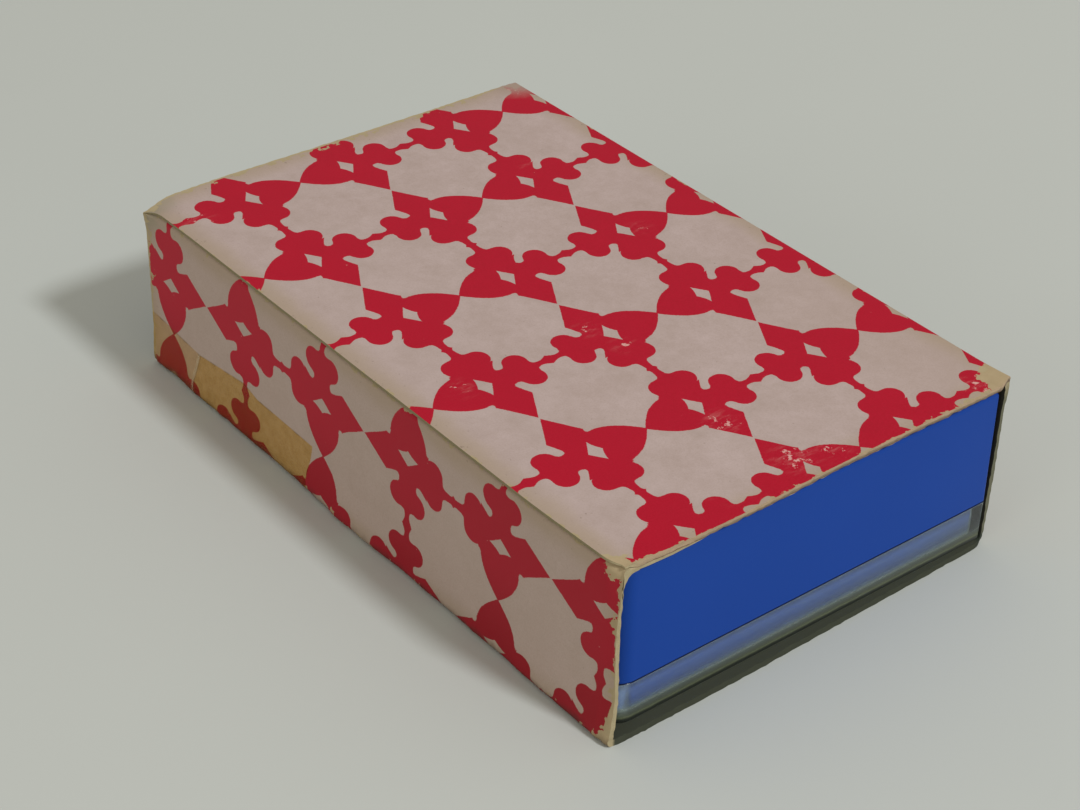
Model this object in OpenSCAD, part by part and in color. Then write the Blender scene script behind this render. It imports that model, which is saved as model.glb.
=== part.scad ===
// Deck of playing cards in a two-piece moulded case, kept in a printed board slip sleeve.
// Millimetres. X runs across the deck, Y along it with the photographed end at -Y, Z up.
// The origin is the middle of the sleeve's underside.

/* [Cards] */
// Width of a card
card_w = 57; // [50:0.5:64]
// Length of a card
card_l = 89; // [80:0.5:100]
// Thickness of a card
card_t = 0.32; // [0.26:0.01:0.4]
// Air between two cards of the stack
card_air = 0.01; // [0.005:0.005:0.03]
// Corner radius of a card
card_corner_r = 3; // [1:0.5:5]
// Play between the deck and the long walls of the tray
card_side_play = 0.3; // [0.2:0.1:1]
// Play between the deck and the end stops of the tray
card_end_play = 0.3; // [0.2:0.1:1]

/* [Case] */
// Wall of the clear lid
lid_wall = 1.5; // [0.8:0.1:2]
// Floor plate of the clear lid
lid_floor = 1.2; // [0.8:0.1:2]
// Height of the clear lid
lid_h = 6.3; // [4.5:0.1:9]
// Rounding of the lid's lower edges
lid_edge_r = 0.7; // [0.3:0.1:2]
// Wall of the tray's inner rim, which plugs into the lid
rim_t = 0.9; // [0.6:0.1:1.5]
// Clearance between rim and lid
rim_gap = 0.1; // [0.05:0.05:0.3]
// Clearance between the rim's end and the lid's floor plate
rim_end_gap = 0.2; // [0.1:0.1:1]
// Roof of the blue tray
tray_roof = 1.3; // [0.8:0.1:2]
// Free height over the deck
deck_headroom = 3.08; // [1:0.02:3.9]
// Finger room between the deck's short sides and the end walls
finger_room = 3.3; // [2:0.1:3.9]
// Width of an end stop rib
stop_w = 2; // [1:0.5:4]
// Distance between the two stop ribs of one end
stop_pitch = 28; // [12:1:40]
// Radius of the case's left corners seen from above
left_corner_r = 2.8; // [0.5:0.1:4]
// Radius of the case's right corners seen from above
right_corner_r = 0.8; // [0.5:0.1:4]
// Rounding of the tray's upper edges
tray_edge_r = 1; // [0.4:0.1:2]
// Draft of the tray's walls, from the parting line to the roof
tray_draft = 0.3; // [0:0.05:0.5]

/* [Sleeve] */
// Thickness of the sleeve's board
board_t = 0.9; // [0.5:0.1:1.4]
// Outer radius of the folds
fold_r = 1.4; // [1.1:0.1:2.2]
// Width of the glue flap under the top panel
flap_w = 12; // [6:1:20]
// Thickness of the glue flap, pressed flat
flap_t = 0.5; // [0.3:0.1:0.9]
// Thickness of the top panel's cut edge, pressed thin along the seam
seam_lip_t = 0.4; // [0.2:0.1:0.9]
// Glue line between the flap's fold and the top panel's edge
glue_line = 0.1; // [0.05:0.05:0.2]
// Clearance beside the case
side_gap = 0.3; // [0.2:0.1:1.5]
// Clearance under the case
seat_gap = 0.1; // [0.05:0.05:0.3]
// Clearance between the case and the glue flap
top_gap = 0.2; // [0.1:0.1:1]
// How far each end of the case lies inside the sleeve
end_recess = 0.2; // [0:0.1:2]

/* [Tape] */
// Length of the tape along the left panel, from the back edge
tape_l = 42; // [20:1:70]
// Height of the tape's upper edge above the underside
tape_top = 7.8; // [4:0.1:12]
// Thickness of the tape
tape_t = 0.06; // [0.04:0.01:0.1]
// Adhesive line between the tape and the board
tape_glue = 0.02; // [0.01:0.01:0.04]

/* [Hidden] */
$fn = 64;
overlap = 0.2;

SUITS = ["spades", "hearts", "diamonds", "clubs"];
RANKS = ["ace", "02", "03", "04", "05", "06", "07", "08", "09", "10", "jack", "queen", "king"];
JOKERS = ["red", "black"];
CARDS = concat(
    [for (suit = SUITS) for (rank = RANKS) str("card_", suit, "_", rank)],
    [for (joker = JOKERS) str("card_joker_", joker)]
);

// The deck sets the size of the tray's cavity
card_pitch = card_t + card_air;
deck_h = len(CARDS) * card_pitch;
cavity_w = card_w + 2 * card_side_play;
cavity_l = card_l + 2 * finger_room;

// The cavity and the walls around it set the size of the case
tray_wall = rim_t + rim_gap + lid_wall;
case_w = cavity_w + 2 * tray_wall;
case_l = cavity_l + 2 * tray_wall;
case_corners = [left_corner_r, right_corner_r];
cavity_corners = [for (r = case_corners) max(r - tray_wall, 0.4)];
rim_corners = [for (r = case_corners) max(r - lid_wall - rim_gap, 0.6)];
pocket_corners = [for (r = rim_corners) r + rim_gap];
card_corners = [card_corner_r, card_corner_r];

// The case and the board set the size of the sleeve
sleeve_inner_w = case_w + 2 * side_gap;
sleeve_w = sleeve_inner_w + 2 * board_t;
sleeve_l = case_l + 2 * end_recess;

// Levels, from the underside up
lid_z = board_t + seat_gap;
floor_z = lid_z + lid_floor;
parting_z = lid_z + lid_h;
rim_z = floor_z + rim_end_gap;
roof_z = floor_z + deck_h + deck_headroom;
case_top_z = roof_z + tray_roof;
sleeve_inner_top_z = case_top_z + top_gap + flap_t;
sleeve_h = sleeve_inner_top_z + board_t;
tray_h = case_top_z - parting_z;

// Rectangle with round corners, centred: corners holds the radius on the left and on the right
module round_rect(w, l, corners) {
    left_r = corners[0];
    right_r = corners[1];
    translate([-w / 2 + left_r, -l / 2])
        square([w - left_r - right_r, l]);
    translate([-w / 2, -l / 2 + left_r])
        square([w / 2, l - 2 * left_r]);
    translate([0, -l / 2 + right_r])
        square([w / 2, l - 2 * right_r]);
    for (y = [-1, 1]) {
        translate([-w / 2 + left_r, y * (l / 2 - left_r)])
            circle(left_r);
        translate([w / 2 - right_r, y * (l / 2 - right_r)])
            circle(right_r);
    }
}

// Side view of a moulded shell standing on y = 0, with drafted sides and round upper edges
module shell_profile(w, h, edge_r, draft) {
    slant = atan(draft / h);
    centre_x = w / 2 - draft * (h - edge_r) / h - edge_r / cos(slant);
    side_x = centre_x + edge_r * cos(slant);
    side_y = h - edge_r + edge_r * sin(slant);
    polygon([
        [-w / 2, 0],
        [w / 2, 0],
        [side_x, side_y],
        [centre_x, h],
        [-centre_x, h],
        [-side_x, side_y]
    ]);
    for (x = [-1, 1])
        translate([x * centre_x, h - edge_r])
            circle(edge_r);
}

// Outer form of a case shell: its plan and its two side views, cut from each other
module shell_form(h, edge_r, draft) {
    intersection() {
        linear_extrude(h)
            round_rect(case_w, case_l, case_corners);
        rotate([90, 0, 0])
            linear_extrude(case_l, center = true)
                shell_profile(case_w, h, edge_r, draft);
        rotate([90, 0, 90])
            linear_extrude(case_w, center = true)
                shell_profile(case_l, h, edge_r, draft);
    }
}

// Cross-section of the folded blank without its glue flap: the top panel's left edge is a
// straight cut, the other three edges are folds
module folded_panels(w, h, r) {
    translate([-w / 2, r])
        square([w, h - 2 * r]);
    translate([-w / 2 + r, 0])
        square([w - 2 * r, h]);
    translate([-w / 2, h - r - overlap])
        square([r + overlap, r + overlap]);
    for (fold = [[-1, r], [1, r], [1, h - r]])
        translate([fold[0] * (w / 2 - r), fold[1]])
            circle(r);
}

// Groove under the top panel's cut edge, where the left panel turns in to become the flap
module seam_groove() {
    turn_r = board_t;
    turn_z = sleeve_h - seam_lip_t - glue_line - turn_r;
    difference() {
        translate([-sleeve_w / 2 - overlap, turn_z])
            square([turn_r + overlap, turn_r + glue_line]);
        translate([-sleeve_w / 2 + turn_r, turn_z])
            circle(turn_r);
    }
}

module sleeve() {
    inner_h = sleeve_inner_top_z - board_t;
    color([0.69, 0.62, 0.57])
        rotate([90, 0, 0])
            linear_extrude(sleeve_l, center = true)
                difference() {
                    folded_panels(sleeve_w, sleeve_h, fold_r);
                    difference() {
                        translate([0, board_t])
                            folded_panels(sleeve_inner_w, inner_h, max(fold_r - board_t, 0.2));
                        translate([-sleeve_w / 2, sleeve_inner_top_z - flap_t])
                            square([board_t + flap_w, flap_t + board_t]);
                    }
                    seam_groove();
                }
}

// The tape lies on the left panel and turns with the lower fold, ending clear of the underside
module tape_strip() {
    inner_r = fold_r + tape_glue;
    outer_r = inner_r + tape_t;
    turn_end = 62;
    color([0.72, 0.63, 0.4, 0.7])
        translate([0, sleeve_l / 2, 0])
            rotate([90, 0, 0])
                linear_extrude(tape_l)
                    translate([-sleeve_w / 2 + fold_r, fold_r]) {
                        translate([-outer_r, 0])
                            square([tape_t, tape_top - fold_r]);
                        intersection() {
                            difference() {
                                circle(outer_r);
                                circle(inner_r);
                            }
                            polygon([
                                [0, 0],
                                [-2 * outer_r, 0],
                                [-2 * outer_r, -2 * outer_r],
                                [-2 * outer_r * cos(turn_end), -2 * outer_r * sin(turn_end)]
                            ]);
                        }
                    }
}

// The two ribs that keep the deck off one end wall
module end_stops() {
    depth = finger_room - card_end_play;
    for (x = [-1, 1])
        translate([x * stop_pitch / 2 - stop_w / 2, cavity_l / 2 - depth, rim_z])
            cube([stop_w, depth + overlap, roof_z - rim_z + overlap]);
}

module case_tray() {
    color([0.13, 0.26, 0.57]) {
        difference() {
            union() {
                translate([0, 0, parting_z])
                    shell_form(tray_h, tray_edge_r, tray_draft);
                translate([0, 0, rim_z])
                    linear_extrude(parting_z - rim_z + overlap)
                        round_rect(cavity_w + 2 * rim_t, cavity_l + 2 * rim_t, rim_corners);
            }
            translate([0, 0, rim_z - overlap])
                linear_extrude(roof_z - rim_z + overlap)
                    round_rect(cavity_w, cavity_l, cavity_corners);
        }
        end_stops();
        rotate([0, 0, 180])
            end_stops();
    }
}

module case_lid() {
    pocket_w = case_w - 2 * lid_wall;
    pocket_l = case_l - 2 * lid_wall;
    color([0.86, 0.88, 0.88, 0.35])
        difference() {
            translate([0, 0, parting_z])
                mirror([0, 0, 1])
                    shell_form(lid_h, lid_edge_r, 0);
            translate([0, 0, floor_z])
                linear_extrude(lid_h)
                    round_rect(pocket_w, pocket_l, pocket_corners);
        }
}

module playing_card(index) {
    color([0.93, 0.91, 0.86])
        translate([0, 0, floor_z + index * card_pitch])
            linear_extrude(card_t)
                round_rect(card_w, card_l, card_corners);
}

sleeve();
tape_strip();
case_tray();
case_lid();
for (i = [0 : len(CARDS) - 1])
    playing_card(i);
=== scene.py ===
"""Looks of a card deck in its moulded case and printed slip sleeve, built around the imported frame."""
import math

import bpy
from mathutils import Matrix, Vector, noise


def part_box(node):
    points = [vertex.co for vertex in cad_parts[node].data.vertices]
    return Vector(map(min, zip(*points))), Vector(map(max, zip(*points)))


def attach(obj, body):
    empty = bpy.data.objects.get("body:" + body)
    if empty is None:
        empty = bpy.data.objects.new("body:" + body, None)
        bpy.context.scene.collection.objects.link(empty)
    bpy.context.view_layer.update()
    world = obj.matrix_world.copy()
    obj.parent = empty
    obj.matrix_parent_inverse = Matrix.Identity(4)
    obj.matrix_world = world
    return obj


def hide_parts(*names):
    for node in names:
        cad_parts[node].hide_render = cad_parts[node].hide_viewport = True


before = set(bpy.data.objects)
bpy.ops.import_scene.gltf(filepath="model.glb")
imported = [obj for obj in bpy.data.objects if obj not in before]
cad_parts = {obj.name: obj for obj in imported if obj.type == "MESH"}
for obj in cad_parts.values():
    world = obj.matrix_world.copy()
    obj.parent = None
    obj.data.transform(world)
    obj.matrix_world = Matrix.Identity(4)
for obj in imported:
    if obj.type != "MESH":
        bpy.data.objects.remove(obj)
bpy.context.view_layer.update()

# Sizes taken from the frame, in millimetres
MM = 0.001


def node_box(name):
    low_corner, high_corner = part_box(name)
    return low_corner / MM, high_corner / MM


SLEEVE_HIGH = node_box("sleeve")[1]
TRAY_LOW, TRAY_HIGH = node_box("case_tray")
LID_LOW, LID_HIGH = node_box("case_lid")
HALF_W = SLEEVE_HIGH.x
HALF_L = SLEEVE_HIGH.y
HEIGHT = SLEEVE_HIGH.z
CASE_HALF_W = TRAY_HIGH.x
CASE_HALF_L = TRAY_HIGH.y

# Board of the sleeve
BOARD = 0.9
FOLD_R = 1.4
LEFT_FOLD_R = 1.0
CREASE_R = 0.6
TURN_R = 0.9
LIP_T = 0.4
LIP_REACH = 3.5
GLUE_LINE = 0.1
FLAP_W = 12.0
FLAP_T = 0.46
FLAP_TAPER = 3.0
INNER_FILLET = 1.9

# Mesh of the sleeve: steps across each panel, depths through the board, places from an open end
TOP_STEPS = (4, 6, 130)
RIGHT_STEPS = 36
BOTTOM_STEPS = 90
LEFT_STEPS = 40
FLAP_STEPS = (5, 6, 5)
FOLD_STEPS = 8
BOARD_LAYERS = (0.0, 0.3, 0.7, 1.0)
END_STEPS = (0.0, 0.1, 0.22, 0.36, 0.55, 0.8, 1.2, 1.7, 2.4, 3.3, 4.5, 6.0, 7.8)
MIDDLE_INSET = 10.0
MIDDLE_STEPS = 44

# Walls of the case
LID_WALL = 1.5
LID_FLOOR = 1.2
LID_EDGE_R = 0.7
RIM_WALL = 0.9
RIM_GAP = 0.1
TRAY_WALL = LID_WALL + RIM_GAP + RIM_WALL
TRAY_ROOF = 1.3
TRAY_EDGE_R = 1.0
TRAY_DRAFT = 0.3
CASE_CORNERS = (2.8, 0.8)
PARTING_BEVEL = 0.16
SEAT_GAP = 0.01
CASE_SHIFT = 0.2
STOP_W = 2.0
STOP_DEPTH = 3.0
STOP_PITCH = 28.0

# Back of a card: half sizes of its field and of its frame line, its diaper and the linen press
BACK_FIELD = (24.0, 40.0)
BACK_FRAME = (25.2, 41.2)
DIAPER_STEP = 2.0
LINEN = 14.0

# Print of the sleeve: the cells of the suit trellis, and how they lie on the top and left panels
CELL_W = 18.28
CELL_L = 18.68
FIRST_COLUMN = 11.42
FIRST_ROW = 7.32
LINK_BLEND = 0.3
TOP_SKEW = 0.024
SIDE_CELL = 18.44
SIDE_ROW = 8.89
SIDE_COLUMN_INDEX = 9
SIDE_SHIFT = 1.65
SIDE_SKEW = -0.021
SIDE_DRIFT = -0.0118
SIDE_CROWD = 0.9
SIDE_CROWD_REACH = 6.0
RIGHT_SQUEEZE = 0.75
RIGHT_SQUEEZE_RISE = 0.006
RIGHT_SQUEEZE_REACH = 8.0
FRONT_SLIP_X = 0.6
FRONT_SLIP_Y = 0.4
FRONT_SLIP_REACH = 14.0

# Front edge of the top panel, cut in a slight curve that reaches furthest left of the middle and
# runs out on the upper part of the left panel
BOW_BASE = 0.38
BOW_RISE = 0.6
BOW_MIDDLE = -17.0
BOW_HALF = 24.0
BOW_END = 3.0
BOW_REACH = 8.0
BOW_DROP = 10.0

# How far the lower panel's front edge reaches, as (x, reach), and the height to which this slant runs
SLANT_EDGE = ((-32.0, 1.1), (-12.0, 1.05), (12.0, 0.55), (30.0, 0.15))
SLANT_RISE = 24.0

# Place along the lower left fold where the board has split and stands out
SPLIT_Y = 1.0
SPLIT_REACH = 12.0
SPLIT_OUT = 0.55

# Back left corner of the top, which is crushed
CRUSHED_CORNER = (-HALF_W, HALF_L, HEIGHT - 1.0)

# Tape on the left panel: its upper edge as (y, z), its torn front end and its crease as (z, y)
TAPE_TOP_EDGE = ((9.8, 7.9), (23.2, 8.1), (26.2, 9.0), (37.8, 7.5), (49.3, 8.4))
TAPE_FRONT_END = ((2.1, 11.2), (7.9, 9.8))
TAPE_CREASE = ((2.0, 39.7), (7.5, 37.8))
TAPE_T = 0.05
TAPE_TURN = 62

# Worn places of the print: corners as (x, y, z, radius), scuffs of the top as (x, y, radius)
WORN_CORNERS = (
    (-HALF_W, -HALF_L, HEIGHT, 2.5),
    (HALF_W, -HALF_L, HEIGHT, 4.2),
    (*CRUSHED_CORNER, 1.6),
    (HALF_W, HALF_L, HEIGHT, 2.2),
    (-HALF_W, -HALF_L, 0.0, 1.9),
)
SCUFFS = (
    (-3.2, -36.3, 3.0),
    (-1.7, -46.9, 3.4),
    (3.0, -48.2, 2.6),
    (-13.2, -47.4, 2.2),
    (-3.2, -10.3, 2.4),
    (-2.1, -16.2, 2.0),
    (-24.9, -12.1, 2.2),
    (18.9, 5.5, 1.8),
    (17.1, 28.9, 1.2),
    (28.0, -49.0, 3.2),
    (-29.0, 41.8, 2.6),
    (30.5, 48.5, 3.0),
)

# Camera, fitted to the corners of the sleeve in a frame of 1080 x 810
CAMERA_AZIMUTH = -39.631
CAMERA_ELEVATION = 34.168
CAMERA_ROLL = 2.135
CAMERA_DISTANCE = 305.265
CAMERA_TARGET = (-7.025, -5.768, 13.0)
CAMERA_FOCAL_PX = 2324.3
FRAME_WIDTH_PX = 1080
SENSOR_MM = 36.0

# Light: a soft sky and one lamp from the front
SKY_STRENGTH = 0.54
SKY_COLOUR = (1.0, 0.96, 0.88, 1.0)
LAMP_DIRECTION = (0.144, -0.682, 0.717)
LAMP_DISTANCE = 2000.0
LAMP_WIDTH = 270.0
LAMP_SHARE = 0.44
LAMP_COLOUR = (0.97, 1.0, 1.05)
FILL_DIRECTION = (-0.93, -0.1, 0.3)
FILL_WIDTH = 1400.0
FILL_SHARE = 0.05
FILL_COLOUR = (1.0, 0.97, 0.92)
BACKDROP = (184, 187, 181)


def srgb(red, green, blue):
    """Linear colour of an 8-bit sRGB one."""
    def linear(value):
        value /= 255
        return value / 12.92 if value <= 0.04045 else ((value + 0.055) / 1.055) ** 2.4
    return linear(red), linear(green), linear(blue), 1.0


# Formulas: a Num adds, multiplies and compares as shader nodes.
# size, unit, fade, step and what is built on them work on plain numbers too.

class Num:
    """A number of a shader, usable in ordinary formulas."""

    def __init__(self, tree, socket):
        self.tree = tree
        self.socket = socket

    def __add__(self, other):
        return calc("ADD", self, other)

    __radd__ = __add__

    def __sub__(self, other):
        return calc("SUBTRACT", self, other)

    def __rsub__(self, other):
        return calc("SUBTRACT", other, self)

    def __mul__(self, other):
        return calc("MULTIPLY", self, other)

    __rmul__ = __mul__

    def __truediv__(self, other):
        return calc("DIVIDE", self, other)

    def __neg__(self):
        return calc("MULTIPLY", self, -1.0)

    def __pow__(self, other):
        return calc("POWER", self, other)


def calc(operation, *values, clamp=False):
    tree = next(v.tree for v in values if isinstance(v, Num))
    math_node = tree.nodes.new("ShaderNodeMath")
    math_node.operation = operation
    math_node.use_clamp = clamp
    for socket, value in zip(math_node.inputs, values):
        if isinstance(value, Num):
            tree.links.new(value.socket, socket)
        else:
            socket.default_value = value
    return Num(tree, math_node.outputs[0])


def low(first, *others):
    for other in others:
        first = calc("MINIMUM", first, other)
    return first


def high(first, *others):
    for other in others:
        first = calc("MAXIMUM", first, other)
    return first


def join(first, second, soft):
    """The lower of two numbers, with a rounded change from one to the other."""
    return calc("SMOOTH_MIN", first, second, soft)


def size(value):
    """A number without its sign."""
    return calc("ABSOLUTE", value) if isinstance(value, Num) else abs(value)


def distance(x, y):
    return calc("SQRT", x * x + y * y)


def unit(value):
    """A number kept between 0 and 1."""
    if isinstance(value, Num):
        return calc("ADD", value, 0.0, clamp=True)
    return min(max(value, 0.0), 1.0)


def fade(gap, reach):
    """1 at a gap of nothing, falling to 0 at reach."""
    return unit(1.0 - gap / reach)


def step(value, start, end):
    """0 up to start, 1 from end on, smooth between."""
    if not isinstance(value, Num):
        share = unit((value - start) / (end - start))
        return share * share * (3.0 - 2.0 * share)
    tree = value.tree
    ramp = tree.nodes.new("ShaderNodeMapRange")
    ramp.interpolation_type = "SMOOTHSTEP"
    tree.links.new(value.socket, ramp.inputs["Value"])
    ramp.inputs["From Min"].default_value = start
    ramp.inputs["From Max"].default_value = end
    return Num(tree, ramp.outputs["Result"])


def until(value, start, end):
    """1 up to start, 0 from end on, smooth between."""
    return 1.0 - step(value, start, end)


def polyline(value, points):
    """Height over a place of the line through points."""
    height = points[0][1]
    for (start, start_height), (end, end_height) in zip(points, points[1:]):
        height = height + unit((value - start) / (end - start)) * (end_height - start_height)
    return height


def front_hump(x):
    """1 where the top panel's front edge reaches furthest, 0 well away from there."""
    return until(size(x - BOW_MIDDLE), 0.0, BOW_HALF)


def front_bow(x, z):
    """How far the front edge reaches past a straight one."""
    across = (BOW_BASE + BOW_RISE * front_hump(x)) * until(x, HALF_W - BOW_END, HALF_W)
    return across * fade(HEIGHT - z, BOW_DROP) + polyline(x, SLANT_EDGE) * fade(z, SLANT_RISE)


def fold_split(y):
    """1 where the lower left fold has split, 0 well away from there."""
    return fade(size(y - SPLIT_Y), SPLIT_REACH)


class Paint:
    """A material's node tree with the few building blocks that the finishes share."""

    def __init__(self, name):
        self.material = bpy.data.materials.new(name)
        self.material.use_nodes = True
        self.tree = self.material.node_tree
        self.shader = self.tree.nodes["Principled BSDF"]
        self.place = self.node("TexCoord").outputs["Object"]
        self.axes = self.split(self.place)
        self.x, self.y, self.z = [axis / MM for axis in self.axes]

    def node(self, kind):
        return self.tree.nodes.new("ShaderNode" + kind)

    def feed(self, socket, value):
        """Sets an input to a plain value, or links it to a number or an output of the tree."""
        if isinstance(value, Num):
            value = value.socket
        if isinstance(value, bpy.types.NodeSocket):
            self.tree.links.new(value, socket)
        else:
            socket.default_value = value

    def fill(self, node, **values):
        """Feeds inputs of a node by their names, with _ for a space."""
        for name, value in values.items():
            self.feed(node.inputs[name.replace("_", " ")], value)

    def set(self, **values):
        self.fill(self.shader, **values)

    def split(self, vector):
        parts = self.node("SeparateXYZ")
        self.feed(parts.inputs[0], vector)
        return [Num(self.tree, out) for out in parts.outputs]

    def attribute(self, name):
        reader = self.node("Attribute")
        reader.attribute_name = name
        return self.split(reader.outputs["Vector"])

    def normal(self):
        return self.split(self.node("NewGeometry").outputs["Normal"])

    def stretched(self, x, y, z):
        """The surface's place with its axes scaled, for grain that runs one way."""
        joined = self.node("CombineXYZ")
        for socket, axis, factor in zip(joined.inputs, self.axes, (x, y, z)):
            self.feed(socket, axis * factor)
        return joined.outputs[0]

    def gap(self, x, y, z):
        """Millimetres from the surface's place to a point."""
        measure = self.node("VectorMath")
        measure.operation = "DISTANCE"
        self.feed(measure.inputs[0], self.place)
        self.feed(measure.inputs[1], (x * MM, y * MM, z * MM))
        return Num(self.tree, measure.outputs["Value"]) / MM

    def grain(self, per_mm, detail, rough, at=None, offset=0.0):
        """Noise of 0 to 1 with about per_mm features in a millimetre."""
        texture = self.node("TexNoise")
        texture.noise_dimensions = "4D"
        self.fill(texture, W=offset, Scale=per_mm / MM, Detail=detail, Roughness=rough)
        self.fill(texture, Vector=at or self.place)
        return Num(self.tree, texture.outputs["Fac"])

    def mix(self, factor, first, second):
        blend = self.node("Mix")
        blend.data_type = "RGBA"
        for index, value in ((0, factor), (6, first), (7, second)):
            self.feed(blend.inputs[index], value)
        return blend.outputs[2]

    def multiply(self, factor, first, second):
        result = self.mix(factor, first, second)
        result.node.blend_type = "MULTIPLY"
        return result

    def over(self, colour, *layers):
        """A colour under layers that are given as (cover, colour)."""
        for cover, layer in layers:
            colour = self.mix(cover, colour, layer)
        return colour

    def bump(self, height, depth_mm, strength):
        ridge = self.node("Bump")
        self.fill(ridge, Strength=strength, Distance=depth_mm * MM, Height=height)
        self.set(Normal=ridge.outputs["Normal"])


# The suit trellis, as distances in millimetres that are below zero inside a figure.
# a and b run from the middle of a cell, along and across its row.

def lobes(run, q, place, apart, r):
    """Two discs beside an axis: run goes along it and q away from it."""
    return distance(run - place, q - apart) - r


def bar(run, q, place, half, side):
    return high(size(run - place) - half, q - side)


def slant(run, q, side, slope):
    """The straight side of a figure that widens along its axis."""
    return (q - side - run * slope) / math.hypot(1.0, slope)


def bead(run, q, half, side, steepness):
    return (run / half + q / side - 1.0) * steepness


def heart(a, b):
    lobe_place, crease = 3.5, 0.45
    taper_place, taper, half_width, curve, steepness = 3.6, 5.65, 3.72, 1.9, 0.7
    top = lobes(a, distance(b, crease), lobe_place, apart=1.7, r=2.0)
    run = unit((a - taper_place) / taper)
    side = (size(b) - half_width * (1.0 - run ** curve)) * steepness
    return low(top, high(side, lobe_place - a))


def diamond(a, b):
    tip = 9.2
    upper = slant(tip - b, size(a), side=0.0, slope=0.6)
    lower = slant(b, size(a), side=0.87, slope=0.43)
    return high(upper, lower)


def spade(a, b):
    run, q = -b, size(a)
    cone_end = 4.0
    foot = lobes(run, q, place=5.4, apart=1.8, r=1.73)
    cone = high(slant(run, q, side=0.2, slope=0.74), run - cone_end)
    middle = bar(run, q, place=5.5, half=1.65, side=1.7)
    return low(foot, cone, middle)


def club(a, b):
    run, q = -a, size(b)
    blend = 1.4
    stem = bar(run, q, place=2.45, half=1.7, side=1.66)
    foot = lobes(run, q, place=5.15, apart=1.93, r=1.72)
    middle = bar(run, q, place=5.1, half=1.7, side=1.9)
    return join(stem, low(foot, middle), blend)


def club_link(a, b):
    run, q = size(-a - CELL_W / 2), size(b)
    thread = bar(run, q, place=0.0, half=2.6, side=0.48)
    return join(bead(run, q, half=2.0, side=1.0, steepness=0.9), thread, LINK_BLEND)


def spade_link(a, b):
    run, q = size(-b - CELL_L / 2), size(a)
    flare = 0.1
    stem = bar(run, q - run * flare, place=0.0, half=2.3, side=0.5)
    return join(bead(run, q, half=0.95, side=0.9, steepness=0.6), stem, LINK_BLEND)


def window(a, b):
    """The bare figure in the middle of a cell, under the lobes of the heart."""
    start, slope, end = -0.02, 1.46, 2.3
    arc_place, arc_side, arc_r = 6.35, 2.8, 5.0
    tips = slant(a - start, size(b), 0.0, slope)
    arc = arc_r - distance(a - arc_place, size(b) - arc_side)
    return high(tips, arc, a - end)


def trellis(u, v):
    """Distance to the print at a place given in cells: every second cell is turned by half."""
    core_place, core_r, core_blend = -0.2, 2.1, 0.5
    black_blend, suit_blend, link_blend, heart_blend = 1.6, 2.0, 1.2, 1.6
    column = calc("FLOOR", u + 0.5)
    row = calc("FLOOR", v + 0.5)
    sign = 1.0 - calc("FLOORED_MODULO", column + row, 2.0) * 2.0
    a = (u - column) * CELL_W * sign
    b = (v - row) * CELL_L * sign
    core = distance(a - core_place, b) - core_r
    black_suits = join(spade(a, b), club(a, b), black_blend)
    suits = join(black_suits, join(diamond(a, b), core, core_blend), suit_blend)
    links = low(club_link(a, b), spade_link(a, b))
    figures = join(heart(a, b), join(suits, links, link_blend), heart_blend)
    return high(figures, -window(a, b))


# Finishes

class BoardFace:
    """Places and grain that the layers of the printed board share."""

    def __init__(self, paint):
        self.u, self.v, self.fold = paint.attribute("sheet")
        self.side = size(paint.normal()[0])
        self.front = paint.y + HALF_L + front_bow(paint.x, paint.z)
        self.back = HALF_L - paint.y
        self.coarse = paint.grain(0.2, 3.0, 0.6, offset=1.0)
        self.medium = paint.grain(0.7, 3.0, 0.55, offset=2.0)
        self.fine = paint.grain(4.0, 3.0, 0.6, offset=3.0)
        self.fibre = paint.grain(12.0, 2.0, 0.6, offset=4.0)


def print_ink(face):
    """1 on the red figures and 0 on the paper, with a slightly uneven outline."""
    uneven = (face.fine - 0.5) * 0.2 + (face.medium - 0.5) * 0.12
    return until(trellis(face.u, face.v) + uneven, -0.04, 0.04)


def rubbed_through(paint, face):
    """1 where the print is gone: in bites along the open ends, along the folds and at the corners."""
    bites = unit((face.medium - 0.50) * 5.0)
    top_depth = bites * (0.5 + step(paint.x, 10.0, 30.0) * 0.9)
    side_depth = 0.2 + bites * 1.4 + until(paint.z, 2.0, 9.0) * 0.8
    front_depth = top_depth + (side_depth - top_depth) * face.side
    back_depth = 0.4 + bites * 1.6
    fold_depth = bites * 0.7 - 0.2
    lower_depth = bites * (1.2 + fold_split(paint.y) * 1.4)
    off_left = step(paint.x, 1.0 - HALF_W, 3.0 - HALF_W) * 9.0
    kept = low(
        face.front - front_depth,
        face.back - back_depth,
        face.fold - fold_depth,
        paint.z - lower_depth + off_left,
    )
    for x, y, z, radius in WORN_CORNERS:
        kept = low(kept, paint.gap(x, y, z) - radius + (face.medium - 0.5) * 4.0)
    return until(kept + (face.fine - 0.5) * 0.35, 0.0, 0.12)


def rubbed_corner(paint, face):
    """1 at the top's back right corner, where the print is a greyish haze, and 0 well away from it."""
    gap = paint.gap(HALF_W, HALF_L, HEIGHT) + (face.medium - 0.5) * 2.0
    return until(gap, 1.5, 6.5)


def scuffs(paint):
    """Chips of the print: many in a few rubbed places of the top, single ones elsewhere."""
    chips = paint.grain(0.85, 5.0, 0.66, offset=6.0)
    smear = paint.grain(0.8, 4.0, 0.65, at=paint.stretched(0.5, 1.6, 1.0), offset=7.0)
    places = [paint.gap(x, y, HEIGHT) - radius for x, y, radius in SCUFFS]
    patch = until(low(*places), -2.5, 0.8)
    return unit(step(chips + patch * 0.15, 0.69, 0.74) + patch * step(smear, 0.48, 0.72) * 0.3)


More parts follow.
